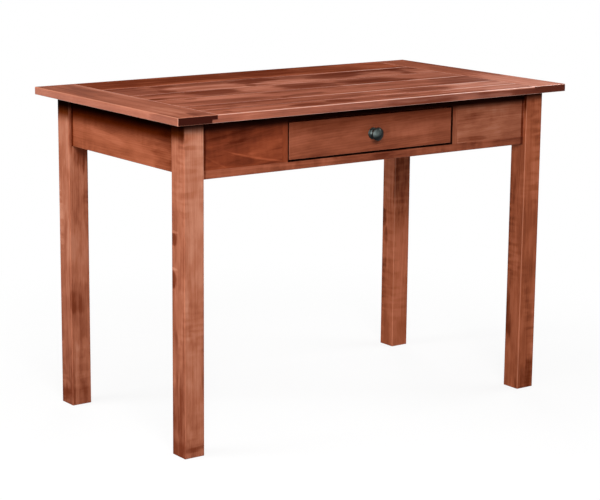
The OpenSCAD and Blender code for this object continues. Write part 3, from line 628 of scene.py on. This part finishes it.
# Each board from the front, with its heart, tone, seed and spots
# The seam lines on the boards are painted highlights, the glint of the joints' eased edges.
TOP_BOARDS = {
    "top_board_1": dict(heart=(0, -262, 600), tone=0.02, seed=1, spots=(
        flat_spot(-240, -280, 180, 50, 0.08), flat_spot(-414, -288, 14, 10, 0.50),
        flat_spot(-198, -282, 50, 18, 0.45), flat_spot(-98, -270, 40, 24, 0.50),
        flat_spot(82, -247, 40, 6, -0.40), flat_spot(62, -270, 32, 20, 0.20),
        # The paler stretch at the right end, at 350, is painted sheen
        flat_spot(286, -292, 34, 14, 0.30), flat_spot(350, -268, 150, 34, -0.50),
        flat_spot(165, -266, 56, 30, -0.26), flat_spot(-320, -270, 90, 20, -0.16),
        edge_spot(-280, 140, -0.06), edge_spot(-440, 55, 0.14), edge_spot(-60, 300, 0.26),
        edge_spot(108, 110, 0.30), edge_spot(390, 130, 0.40), edge_spot(440, 60, 0.56),
        # A painted highlight along the front arris at the right end
        spot((400, -312, 761), (130, 3, 3), -1.2, fray=0.2),
        seam_glint_line(360, -243, 110))),
    "top_board_2": dict(heart=(0, -220, 640), tone=0.0, seed=2, spots=(
        flat_spot(-220, -205, 240, 50, 0.27), flat_spot(-290, -186, 150, 10, 0.30),
        flat_spot(-292, -228, 60, 8, -0.25), flat_spot(60, -196, 50, 22, -0.10),
        # The paler stretch at the right end, at 370, is painted sheen
        flat_spot(195, -205, 92, 26, 0.28, slope=-0.12), flat_spot(370, -205, 110, 38, -0.46),
        flat_spot(82, -234, 50, 8, -0.40), seam_glint_line(10, -172, 190), seam_glint_line(310, -173, 130))),
    "top_board_3": dict(heart=(0, -90, 690), tone=-0.02, seed=3, spots=(
        flat_spot(-310, -82, 150, 28, -0.20), flat_spot(-367, -72, 14, 9, 0.40),
        flat_spot(-153, -77, 26, 8, 0.40), flat_spot(-164, -150, 12, 9, 0.55),
        flat_spot(-95, -135, 60, 20, 0.45), flat_spot(100, -112, 110, 30, 0.12),
        flat_spot(390, -76, 80, 14, 0.50), flat_spot(372, -136, 90, 34, 0.30),
        flat_spot(-330, -138, 120, 24, 0.18), flat_spot(385, -100, 70, 14, 0.12),
        seam_glint_line(150, -57, 90), seam_glint_line(350, -58, 90))),
    "top_board_4": dict(heart=(-40, 10, 700), tone=0.0, seed=4, spots=(
        flat_spot(-385, 32, 66, 9, 0.35), flat_spot(-431, -34, 20, 12, 0.65),
        flat_spot(-258, 4, 76, 40, 0.55, slope=0.10, fray=0.6),
        flat_spot(-130, -5, 62, 42, -0.34),
        flat_spot(2, -4, 84, 42, 0.52, slope=-0.10, fray=0.6),
        flat_spot(205, -22, 104, 34, 0.50, slope=-0.05), flat_spot(180, 10, 90, 34, 0.34),
        flat_spot(385, -5, 70, 30, 0.06), flat_spot(60, -20, 30, 14, -0.12))),
    "top_board_5": dict(heart=(0, 90, 705), tone=0.07, seed=5, spots=(
        flat_spot(-425, 150, 60, 42, 0.34), flat_spot(-308, 148, 28, 15, 0.45),
        flat_spot(-338, 78, 22, 44, 0.34, slope=0.8), flat_spot(-215, 84, 120, 42, -0.42),
        flat_spot(-195, 158, 92, 12, 0.12), flat_spot(-60, 132, 76, 32, 0.60, slope=0.25),
        flat_spot(-104, 76, 22, 26, 0.45, slope=0.8),
        flat_spot(20, 78, 110, 34, -0.44, slope=0.12),
        flat_spot(168, 116, 96, 44, 0.68, slope=0.15), flat_spot(315, 150, 110, 16, 0.66),
        flat_spot(292, 78, 90, 30, -0.20, slope=0.12), flat_spot(378, 104, 22, 50, 0.46),
        flat_spot(422, 70, 42, 26, -0.46), flat_spot(442, 136, 16, 14, 0.50),
        seam_glint_line(350, 170, 100), seam_glint_line(180, 170, 90, depth=-0.6))),
    "top_board_6": dict(heart=(0, 230, 640), tone=0.30, seed=6, polish=0.05, spots=(
        flat_spot(-260, 238, 170, 46, 0.28), flat_spot(-64, 252, 76, 56, 0.20),
        flat_spot(70, 290, 84, 30, 0.45), flat_spot(70, 222, 110, 24, 0.30),
        flat_spot(-232, 296, 60, 12, -0.25), flat_spot(-200, 184, 120, 10, -0.25),
        flat_spot(-400, 240, 70, 60, 0.28), flat_spot(240, 235, 90, 60, 0.26),
        flat_spot(70, 250, 90, 50, 0.28), flat_spot(410, 240, 60, 60, -0.16))),
}
for name, board in TOP_BOARDS.items():
    dress_in_stain(name, "x", TOP_STAIN, TOP_FIGURE, bend=0.05, **board)

dress_in_stain(
    "breadboard_left", "y", LEFT_STAIN, ENDS_FIGURE, (-505, 0, 640), 11, tone=-0.02, side=-0.14,
    spots=(flat_spot(-505, 150, 36, 96, 0.18), flat_spot(-514, -205, 32, 60, -0.18),
           # The pale line along the inner edge, at -461, is a painted highlight of the eased joint
           flat_spot(-478, -282, 26, 24, 0.30), flat_spot(-461, 150, 6, 170, -0.32),
           spot((-555, -270, 750), (12, 60, 40), 0.34)))
dress_in_stain(
    "breadboard_right", "y", RIGHT_STAIN, ENDS_FIGURE, (505, 0, 640), 12,
    spots=(flat_spot(546, 150, 14, 160, 0.30), flat_spot(462, 250, 9, 22, -0.30),
           # The paler stretch at the front, at -215, is painted sheen
           flat_spot(500, -215, 70, 150, -0.50), flat_spot(505, 60, 24, 90, 0.15),
           flat_spot(500, 225, 44, 70, 0.14)))


# Painted shadow bands and legs

# Bands of painted shade and painted shadow under the top, where the overhang casts its shadow:
# height where each starts and ends in mm, its strength, and the share of it on faces that look to
# the front or back
LEG_SHADE = (684, 712, 1.0, 0.0)
LEG_PAINTED_SHADOW = (708, 738, 1.0, 1.0)
FRONT_LEFT_SHADE = (690, 717, 1.0, 0.0)
FRONT_RIGHT_PAINTED_SHADOW = (714, 741, 1.0, 1.0)
BACK_LEFT_SHADE = (680, 708, 1.0, 0.0)
END_SHADE = (677, 708, 1.0, 1.0)
END_PAINTED_SHADOW = (704, 726, 1.0, 1.0)
FRONT_SHADE = (682, 722, 0.50, 1.0)
FRONT_PAINTED_SHADOW = (711, 728, 1.0, 1.0)
DRAWER_SHADE = (668, 722, 0.68, 1.0)

dress_in_stain(
    "leg_front_left", "z", LEG_STAIN, LEG_FIGURE, (-620, -420, 0), 21, tone=-0.18, side=0.24,
    shade=FRONT_LEFT_SHADE, glaze=LEG_PAINTED_SHADOW,
    spots=(left_leg_spot(-222, 485, 22, 14, 0.40, fray=0.9),
           left_leg_spot(-222, 398, 22, 20, 0.64, fray=0.9),
           left_leg_spot(-222, 421, 26, 3.5, -0.35, fray=0.3),
           left_leg_spot(-222, 503, 26, 3.5, -0.35, fray=0.3),
           left_leg_spot(-216, 345, 16, 60, 0.08), left_leg_spot(-258, 322, 26, 62, -0.20),
           spot((-516, -240, 30), (60, 60, 80), 0.10),
           spot((-495, -248, 2), (60, 60, 40), 0.30, fray=0.9),
           spot((-516, -245, 60), (6, 34, 110), 0.18), left_leg_spot(-226, 230, 26, 60, 0.18),
           spot((-465, -274, 210), (12, 20, 60), 0.20),
           spot((-478, -274, 170), (60, 20, 240), 0.12)))
dress_in_stain(
    "leg_front_right", "z", RIGHT_LEG_STAIN, LEG_FIGURE, (620, -380, 0), 22, tone=-0.02,
    side=0.06, shade=LEG_SHADE, glaze=FRONT_RIGHT_PAINTED_SHADOW,
    spots=(right_leg_spot(-219, 490, 22, 110, 0.14), right_leg_spot(-222, 375, 24, 60, 0.24),
           right_leg_spot(-222, 190, 22, 60, 0.34), right_leg_spot(-222, 290, 22, 40, 0.14),
           right_leg_spot(-222, 75, 22, 60, -0.14), spot((490, -274, 285), (18, 20, 70), 0.12),
           spot((504, -274, 16), (34, 16, 56), 0.34)))
dress_in_stain(
    "leg_back_left", "z", LEG_STAIN, LEG_FIGURE, (-600, 340, 0), 23, tone=0.12, side=-0.06,
    shade=BACK_LEFT_SHADE, glaze=END_PAINTED_SHADOW,
    # The first three spots are painted shade on the front face, under the apron
    spots=(spot((-478, 223, 630), (34, 10, 60), 0.40),
           spot((-466, 223, 560), (14, 10, 120), 0.20),
           spot((-512, 223, 690), (7, 4, 80), 0.35, fray=0.2),
           spot((-485, 219, 262), (60, 10, 38), 0.18, fray=0.7),
           spot((-508, 219, 256), (22, 9, 30), 0.22, fray=0.5),
           spot((-494, 223, 126), (24, 20, 12), 0.12),
           spot((-485, 219, 112), (60, 10, 46), -0.20),
           spot((-490, 245, 8), (60, 60, 44), 0.30, fray=0.9),
           spot((-492, 223, 370), (44, 20, 70), -0.16),
           left_leg_spot(248, 500, 44, 60, -0.20), left_leg_spot(248, 632, 44, 60, -0.16),
           spot((-516, 250, 40), (8, 40, 90), 0.14)))
dress_in_stain(
    "leg_back_right", "z", RIGHT_LEG_STAIN, CALM_LEG_FIGURE, (400, 340, 0), 24, tone=-0.16,
    side=0.08, shade=LEG_SHADE, glaze=LEG_PAINTED_SHADOW,
    # Paler at the top of the left face: painted light, where that face is lit
    spots=(right_leg_spot(250, 530, 24, 140, -0.34, half_x=8),
           right_leg_spot(278, 350, 22, 24, 0.42, half_x=10),
           right_leg_spot(258, 300, 9, 26, 0.36, half_x=10),
           right_leg_spot(274, 225, 22, 16, 0.30, half_x=10),
           right_leg_spot(272, 160, 14, 60, 0.14, half_x=10),
           # The next three spots are painted shade on the front face, under the top, darkest by its
           # arris
           spot((490, 217, 510), (60, 10, 160), 0.38),
           right_leg_spot(217, 490, 12, 160, 0.26, half_x=14),
           spot((490, 217, 575), (60, 10, 80), 0.34, fray=0.6),
           spot((500, 217, 365), (44, 12, 16), 0.16, slope=0.4),
           spot((490, 217, 290), (50, 12, 30), -0.04)))


# The aprons

dress_in_stain(
    "end_apron_left", "y", APRON_STAIN, APRON_FIGURE, (-440, 0, 600), 31, tone=0.06,
    shade=END_SHADE, glaze=END_PAINTED_SHADOW,
    spots=(end_spot(70, 674, 90, 9, -0.18, slope=0.12), end_spot(20, 684, 170, 10, 0.06),
           # The dark spot at -185 is the front leg's painted shadow
           end_spot(150, 655, 70, 34, -0.06), end_spot(-185, 664, 46, 46, 0.28),
           # The line at 221 is painted shadow beside the front leg
           end_spot(-95, 655, 50, 26, -0.10), end_spot(221, 680, 5, 90, 1.2, fray=0.1)))
dress_in_stain("end_apron_right", "y", APRON_STAIN, APRON_FIGURE, (440, 20, 600), 32,
               shade=FRONT_SHADE, glaze=FRONT_PAINTED_SHADOW)
dress_in_stain("back_apron", "x", APRON_STAIN, APRON_FIGURE, (0, 180, 640), 33,
               shade=FRONT_SHADE, glaze=FRONT_PAINTED_SHADOW)


# The front and the drawer

dress_in_stain(
    "front_bottom_rail", "x", FRAME_STAIN, FRAME_FIGURE, (0, -160, 600), 41, tone=0.08,
    gap=OPENING,
    spots=(front_spot(360, 627, 110, 12, 0.08), front_spot(290, 627, 40, 9, 0.24),
           front_spot(27, 627, 26, 6, 0.20), front_spot(-380, 624, 80, 8, -0.12),
           # The two thin dark lines beside the legs are painted shadow where the rail meets them
           front_spot(-461, 626, 6.5, 20, 0.4, fray=0.1),
           front_spot(460, 626, 3.8, 20, 0.6, fray=0.1)))
dress_in_stain("front_top_rail", "x", FRAME_STAIN, FRAME_FIGURE, (0, -160, 700), 42, tone=0.25,
               glaze=FRONT_PAINTED_SHADOW)
dress_in_stain(
    "front_panel_left", "x", PANEL_STAIN, PANEL_FIGURE, (-240, -215, 700), 43, ring=9.0,
    tilt=0.12, shade=FRONT_SHADE, glaze=FRONT_PAINTED_SHADOW,
    spots=(front_spot(-325, 651.8, 84, 2.4, -0.36, slope=-0.22, bow=0.565, fray=0.3),
           front_spot(-388, 650, 70, 13, 0.22, slope=-0.15),
           front_spot(-432, 652, 34, 2.2, -0.16, slope=-0.53, fray=0.3),
           front_spot(-364, 706, 36, 18, 0.24, slope=0.35),
           front_spot(-434, 704, 26, 16, 0.14),
           # Painted shadow beside the left front leg
           front_spot(-461, 680, 6.5, 60, 0.45, fray=0.1),
           front_spot(-290, 655, 50, 18, -0.22)))
dress_in_stain(
    "front_panel_right", "x", LEG_STAIN, PANEL_FIGURE, (360, -200, 640), 44,
    shade=FRONT_SHADE, glaze=FRONT_PAINTED_SHADOW,
    spots=(front_spot(300, 641, 40, 6, 0.22), front_spot(330, 690, 50, 18, 0.14),
           front_spot(440, 676, 40, 60, 0.08), front_spot(392, 708, 50, 10, -0.12),
           # Painted shadow beside the right front leg
           front_spot(460, 676, 3.8, 66, 0.95, fray=0.1)))
dress_in_stain("divider_left", "z", PANEL_STAIN, PANEL_FIGURE, (-245, -160, 0), 45, tone=-0.08,
               shade=FRONT_SHADE, glaze=FRONT_PAINTED_SHADOW, gap=OPENING)
dress_in_stain("divider_right", "z", LEG_STAIN, PANEL_FIGURE, (245, -160, 0), 46, tone=0.12,
               shade=FRONT_SHADE, glaze=FRONT_PAINTED_SHADOW, gap=OPENING)

dress_in_stain(
    "drawer_front", "x", DRAWER_STAIN, PANEL_FIGURE, (-30, -225, 730), 47, tone=-0.06, ring=5.0,
    tilt=0.06, shade=DRAWER_SHADE,
    spots=(front_spot(84, 708, 26, 8, 0.20), front_spot(-80, 708, 20, 6, 0.14),
           front_spot(-130, 690, 70, 16, 0.10), front_spot(70, 655, 60, 16, 0.12),
           front_spot(0, 638, 400, 8, 0.16)))
dress_in_plain_wood("drawer_side_left", "y", BOX_WOOD, PLAIN_FIGURE, (-228, 0, 610), 51)
dress_in_plain_wood("drawer_side_right", "y", BOX_WOOD, PLAIN_FIGURE, (228, 0, 610), 52,
                    tone=-0.05)
dress_in_plain_wood("drawer_back", "x", BOX_WOOD, PLAIN_FIGURE, (0, 190, 620), 53)
dress_in_plain_wood("drawer_bottom", "x", BOX_WOOD, PLAIN_FIGURE, (0, 0, 560), 54, tone=-0.08)


# The pieces inside

# What their names start with, and the way their grain runs
INNER_GRAIN = {"runner": "y", "guide": "y", "kicker": "y", "drawer_stop": "x",
               "corner_block": "z", "top_buttons": "x"}
# The seed of the first one
FIRST_INNER_SEED = 60
# How far in mm the heart of the tree lies from a piece's middle, along X and Y, and from its
# lowest side
INNER_HEART = (25, -30, -40)


def dress_inner_pieces():
    """Gives each wooden piece of the inside plain wood, in one of four tones by turns."""
    seed = FIRST_INNER_SEED
    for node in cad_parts:
        kind = next((key for key in INNER_GRAIN if node.startswith(key)), None)
        if kind is None or "screws" in node:
            continue
        low, high = (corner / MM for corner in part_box(node))
        heart = ((low[0] + high[0]) / 2 + INNER_HEART[0],
                 (low[1] + high[1]) / 2 + INNER_HEART[1], low[2] + INNER_HEART[2])
        dress_in_plain_wood(node, INNER_GRAIN[kind], INNER_WOOD, PLAIN_FIGURE, heart, seed,
                            tone=0.04 * (seed % 4))
        seed += 1


dress_inner_pieces()


# Metals

# Waves of the patina and of the scratches in each metre
PATINA_WAVES, SCRATCH_WAVES = waves(140.0, 140.0), waves(1800.0, 1800.0)
# How much rougher the dull tone is, and how much the scratches add and take away
DULL_ROUGHER, SCRATCH_ROUGHNESS = 0.12, 0.08
# Height of the scratches in metres, and how strongly they show
SCRATCH_HEIGHT, SCRATCH_STRENGTH = 0.1 * MM, 0.12
# Cosines of the angle to the lit side between which the painted shade fades out
LIT_SIDE_LIMITS = (0.28, 0.95)


def metal(name, base, dull, rough, dark=None, lit_side=(0.0, 0.0, 1.0)):
    """Cast or drawn metal: a cloudy patina between two tones, with fine scratches in the sheen.
    Where dark is given, it is painted shade: the metal turns to that tone away from the lit side."""
    material, tree = new_material(name)
    coordinates = add(tree, "ShaderNodeTexCoord").outputs
    where = coordinates["Object"]
    cloud = noise_mask(tree, where, PATINA_WAVES, 0.35, 0.65, detail=4.0, roughness=0.6)
    grit = noise(tree, where, SCRATCH_WAVES)
    tint = blend(tree, cloud, base, dull)
    if dark:
        facing = agreement(tree, coordinates["Normal"], lit_side)
        tint = blend(tree, spread(tree, facing, *LIT_SIDE_LIMITS), dark, tint)
    clouded = spread(tree, cloud, 0.0, 1.0, rough, rough + DULL_ROUGHER, smooth=False)
    scratched = maths(tree, "MULTIPLY", maths(tree, "SUBTRACT", grit, 0.5), SCRATCH_ROUGHNESS)
    bump = add(tree, "ShaderNodeBump", {"Height": grit, "Strength": SCRATCH_STRENGTH,
                                        "Distance": SCRATCH_HEIGHT})
    shader = add(tree, "ShaderNodeBsdfPrincipled", {
        "Base Color": tint, "Roughness": maths(tree, "ADD", clouded, scratched),
        "Metallic": 1.0, "Normal": bump.outputs[0]})
    add(tree, "ShaderNodeOutputMaterial", {"Surface": shader.outputs[0]})
    return material


# The knob's dark tone is painted shade on the side turned away from the light, which comes from the
# upper left front.
dress("knob", metal("pewter", colour(130, 142, 139), colour(100, 110, 108), 0.36,
                    dark=colour(26, 29, 30), lit_side=(-0.48, -0.46, 0.75)))
STEEL = metal("screw_steel", colour(190, 186, 172), colour(150, 146, 134), 0.28)
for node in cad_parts:
    if "screw" in node:
        dress(node, STEEL)


# Floor and backdrop

WHITE = (1.0, 1.0, 1.0, 1.0)
# The floor's paint where its shadows are read, and as the light that bounces off it sees it
FLOOR_PAINT = (0.9, 0.9, 0.9, 1.0)
FLOOR_GREY = (0.24, 0.235, 0.23, 1.0)
# How far the floor goes each way, and how far it lies under the feet
FLOOR_REACH = 40.0
FLOOR_DROP = 0.2 * MM
# Share of plain white in the floor at the desk, and the distances from the desk's middle
# between which that share grows to 1
WHITE_SHARE, WHITE_START, WHITE_FULL = 0.86, 0.6, 1.6
# Strength of the even light that the wood gets from all round
ROUND_LIGHT = 0.12
# Z part of a mirrored direction where the white sweep starts to fade, and where it has faded
SWEEP_START, SWEEP_END = 0.06, 0.30
# Y part of that direction where the dark flag behind the desk starts and is full, and how much
# of the white the flag leaves
FLAG_START, FLAG_FULL, FLAG_LEAVES = 0.70, 0.76, 0.02


def make_floor():
    """A flat pale floor. The camera and reflections see it nearly white, with the desk's shadow;
    light that bounces off it to the desk is that of a grey studio floor. A camera under it sees
    through it, so that the underside of the desk can be looked at. It lies a hair under the feet,
    which keeps their faces apart from it."""
    corners = ((-1, -1), (1, -1), (1, 1), (-1, 1))
    mesh = bpy.data.meshes.new("floor")
    mesh.from_pydata([(x * FLOOR_REACH, y * FLOOR_REACH, -FLOOR_DROP) for x, y in corners],
                     [], [(0, 1, 2, 3)])
    floor = bpy.data.objects.new("floor", mesh)
    bpy.context.scene.collection.objects.link(floor)
    material, tree = new_material("floor_paint")
    away = length(tree, add(tree, "ShaderNodeTexCoord").outputs["Object"])
    white_share = spread(tree, away, WHITE_START, WHITE_FULL, WHITE_SHARE, 1.0)
    path = add(tree, "ShaderNodeLightPath").outputs
    seen = most(tree, path["Is Camera Ray"], path["Is Glossy Ray"], path["Is Transmission Ray"])
    lit = add(tree, "ShaderNodeBsdfDiffuse", {"Color": FLOOR_PAINT})
    white = add(tree, "ShaderNodeEmission", {"Color": WHITE, "Strength": 1.0})
    pale = add(tree, "ShaderNodeMixShader",
               {0: white_share, 1: lit.outputs[0], 2: white.outputs[0]})
    grey = add(tree, "ShaderNodeBsdfDiffuse", {"Color": FLOOR_GREY})
    both = add(tree, "ShaderNodeMixShader", {0: seen, 1: grey.outputs[0], 2: pale.outputs[0]})
    from_under = maths(tree, "MULTIPLY", path["Is Camera Ray"],
                       add(tree, "ShaderNodeNewGeometry").outputs["Backfacing"])
    clear = add(tree, "ShaderNodeBsdfTransparent", {"Color": WHITE})
    whole = add(tree, "ShaderNodeMixShader",
                {0: from_under, 1: both.outputs[0], 2: clear.outputs[0]})
    add(tree, "ShaderNodeOutputMaterial", {"Surface": whole.outputs[0]})
    mesh.materials.append(material)


def make_world():
    """A white backdrop for the camera, and for reflections a white sweep under a dim ceiling, with
    a dark flag behind the desk so that its top isn't washed out. The light that reaches the wood
    from the world is weak and even."""
    world = bpy.data.worlds.new("studio")
    bpy.context.scene.world = world
    world.use_nodes = True
    tree = world.node_tree
    tree.nodes.clear()
    path = add(tree, "ShaderNodeLightPath").outputs
    way = add(tree, "ShaderNodeTexCoord").outputs["Generated"]
    sweep = spread(tree, parts(tree, way)["Z"], SWEEP_START, SWEEP_END, 1.0, 0.0)
    back = agreement(tree, way, (0.0, 1.0, 0.0))
    flag = spread(tree, back, FLAG_START, FLAG_FULL, 1.0, FLAG_LEAVES)
    mirrored = most(tree, path["Is Glossy Ray"], path["Is Transmission Ray"])
    shown = maths(tree, "MULTIPLY", mirrored, maths(tree, "MULTIPLY", sweep, flag))
    seen = most(tree, path["Is Camera Ray"], shown)
    weak = add(tree, "ShaderNodeBackground", {"Color": WHITE, "Strength": ROUND_LIGHT})
    white = add(tree, "ShaderNodeBackground", {"Color": WHITE, "Strength": 1.0})
    both = add(tree, "ShaderNodeMixShader", {0: seen, 1: weak.outputs[0], 2: white.outputs[0]})
    add(tree, "ShaderNodeOutputWorld", {"Surface": both.outputs[0]})


# Lamps and camera

# What most of the lamps are turned to, and where the front one stands
DESK_MIDDLE = (0.0, 0.0, 0.6)
FRONT_LAMP_AT = (-1.9, -3.3, 2.25)

# The photograph's camera: its place in metres, its turn in radians, and the width of its sensor
# and its lens in mm
CAMERA_AT = (-2.65782, -3.61909, 1.31484)
CAMERA_TURN = (1.3614, -0.0089, -0.6300)
SENSOR_WIDTH, LENS = 36.0, 113.598


def make_softbox(name, place_at, aim_at, width, height, power, lights=True, mirrored=True):
    """A rectangular lamp turned to a point, with its power in watts. With lights off it is only
    seen mirrored, in the polish and the metal, and with mirrored off it isn't seen there."""
    lamp = bpy.data.lights.new(name, "AREA")
    lamp.shape = "RECTANGLE"
    lamp.size, lamp.size_y = width, height
    lamp.energy = power
    holder = bpy.data.objects.new(name, lamp)
    bpy.context.scene.collection.objects.link(holder)
    holder.location = place_at
    holder.visible_diffuse = lights
    holder.visible_glossy = mirrored
    way = np.array(aim_at) - np.array(place_at)
    level = math.hypot(way[0], way[1])
    holder.rotation_euler = (math.atan2(level, -way[2]), 0.0, math.atan2(-way[0], way[1]))


def make_lamps():
    """Six softboxes. The front one lights the desk, and a dimmer twin of it is what the polish and
    the knob mirror, so that the top isn't washed out when it is seen from behind. The back one
    only lights the back of the desk, and isn't mirrored either."""
    make_softbox("front_softbox", FRONT_LAMP_AT, DESK_MIDDLE, 1.7, 1.3, 127, mirrored=False)
    make_softbox("front_glint", FRONT_LAMP_AT, DESK_MIDDLE, 1.4, 1.0, 44, lights=False)
    make_softbox("left_softbox", (-3.2, 1.0, 2.8), DESK_MIDDLE, 1.5, 1.2, 76)
    make_softbox("high_softbox", (-2.5, -0.3, 3.0), DESK_MIDDLE, 1.2, 1.0, 24)
    make_softbox("low_softbox", (-3.2, -2.2, 0.9), (0.0, 0.0, 0.4), 1.8, 1.2, 44)
    make_softbox("right_softbox", (1.8, -0.55, 2.35), (0.2, -0.1, 0.75), 1.2, 0.9, 26)
    make_softbox("back_softbox", (2.1, 3.4, 1.0), (0.0, 0.0, 0.5), 1.6, 1.0, 62, mirrored=False)


def make_camera():
    """The photograph's camera, found from the corners of the top, the legs and the drawer."""
    camera = bpy.data.cameras.new("camera")
    camera.sensor_width = SENSOR_WIDTH
    camera.lens = LENS
    holder = bpy.data.objects.new("camera", camera)
    bpy.context.scene.collection.objects.link(holder)
    holder.location = CAMERA_AT
    holder.rotation_euler = CAMERA_TURN
    bpy.context.scene.camera = holder


make_floor()
make_world()
make_lamps()
make_camera()
bpy.context.scene.view_settings.view_transform = "Standard"
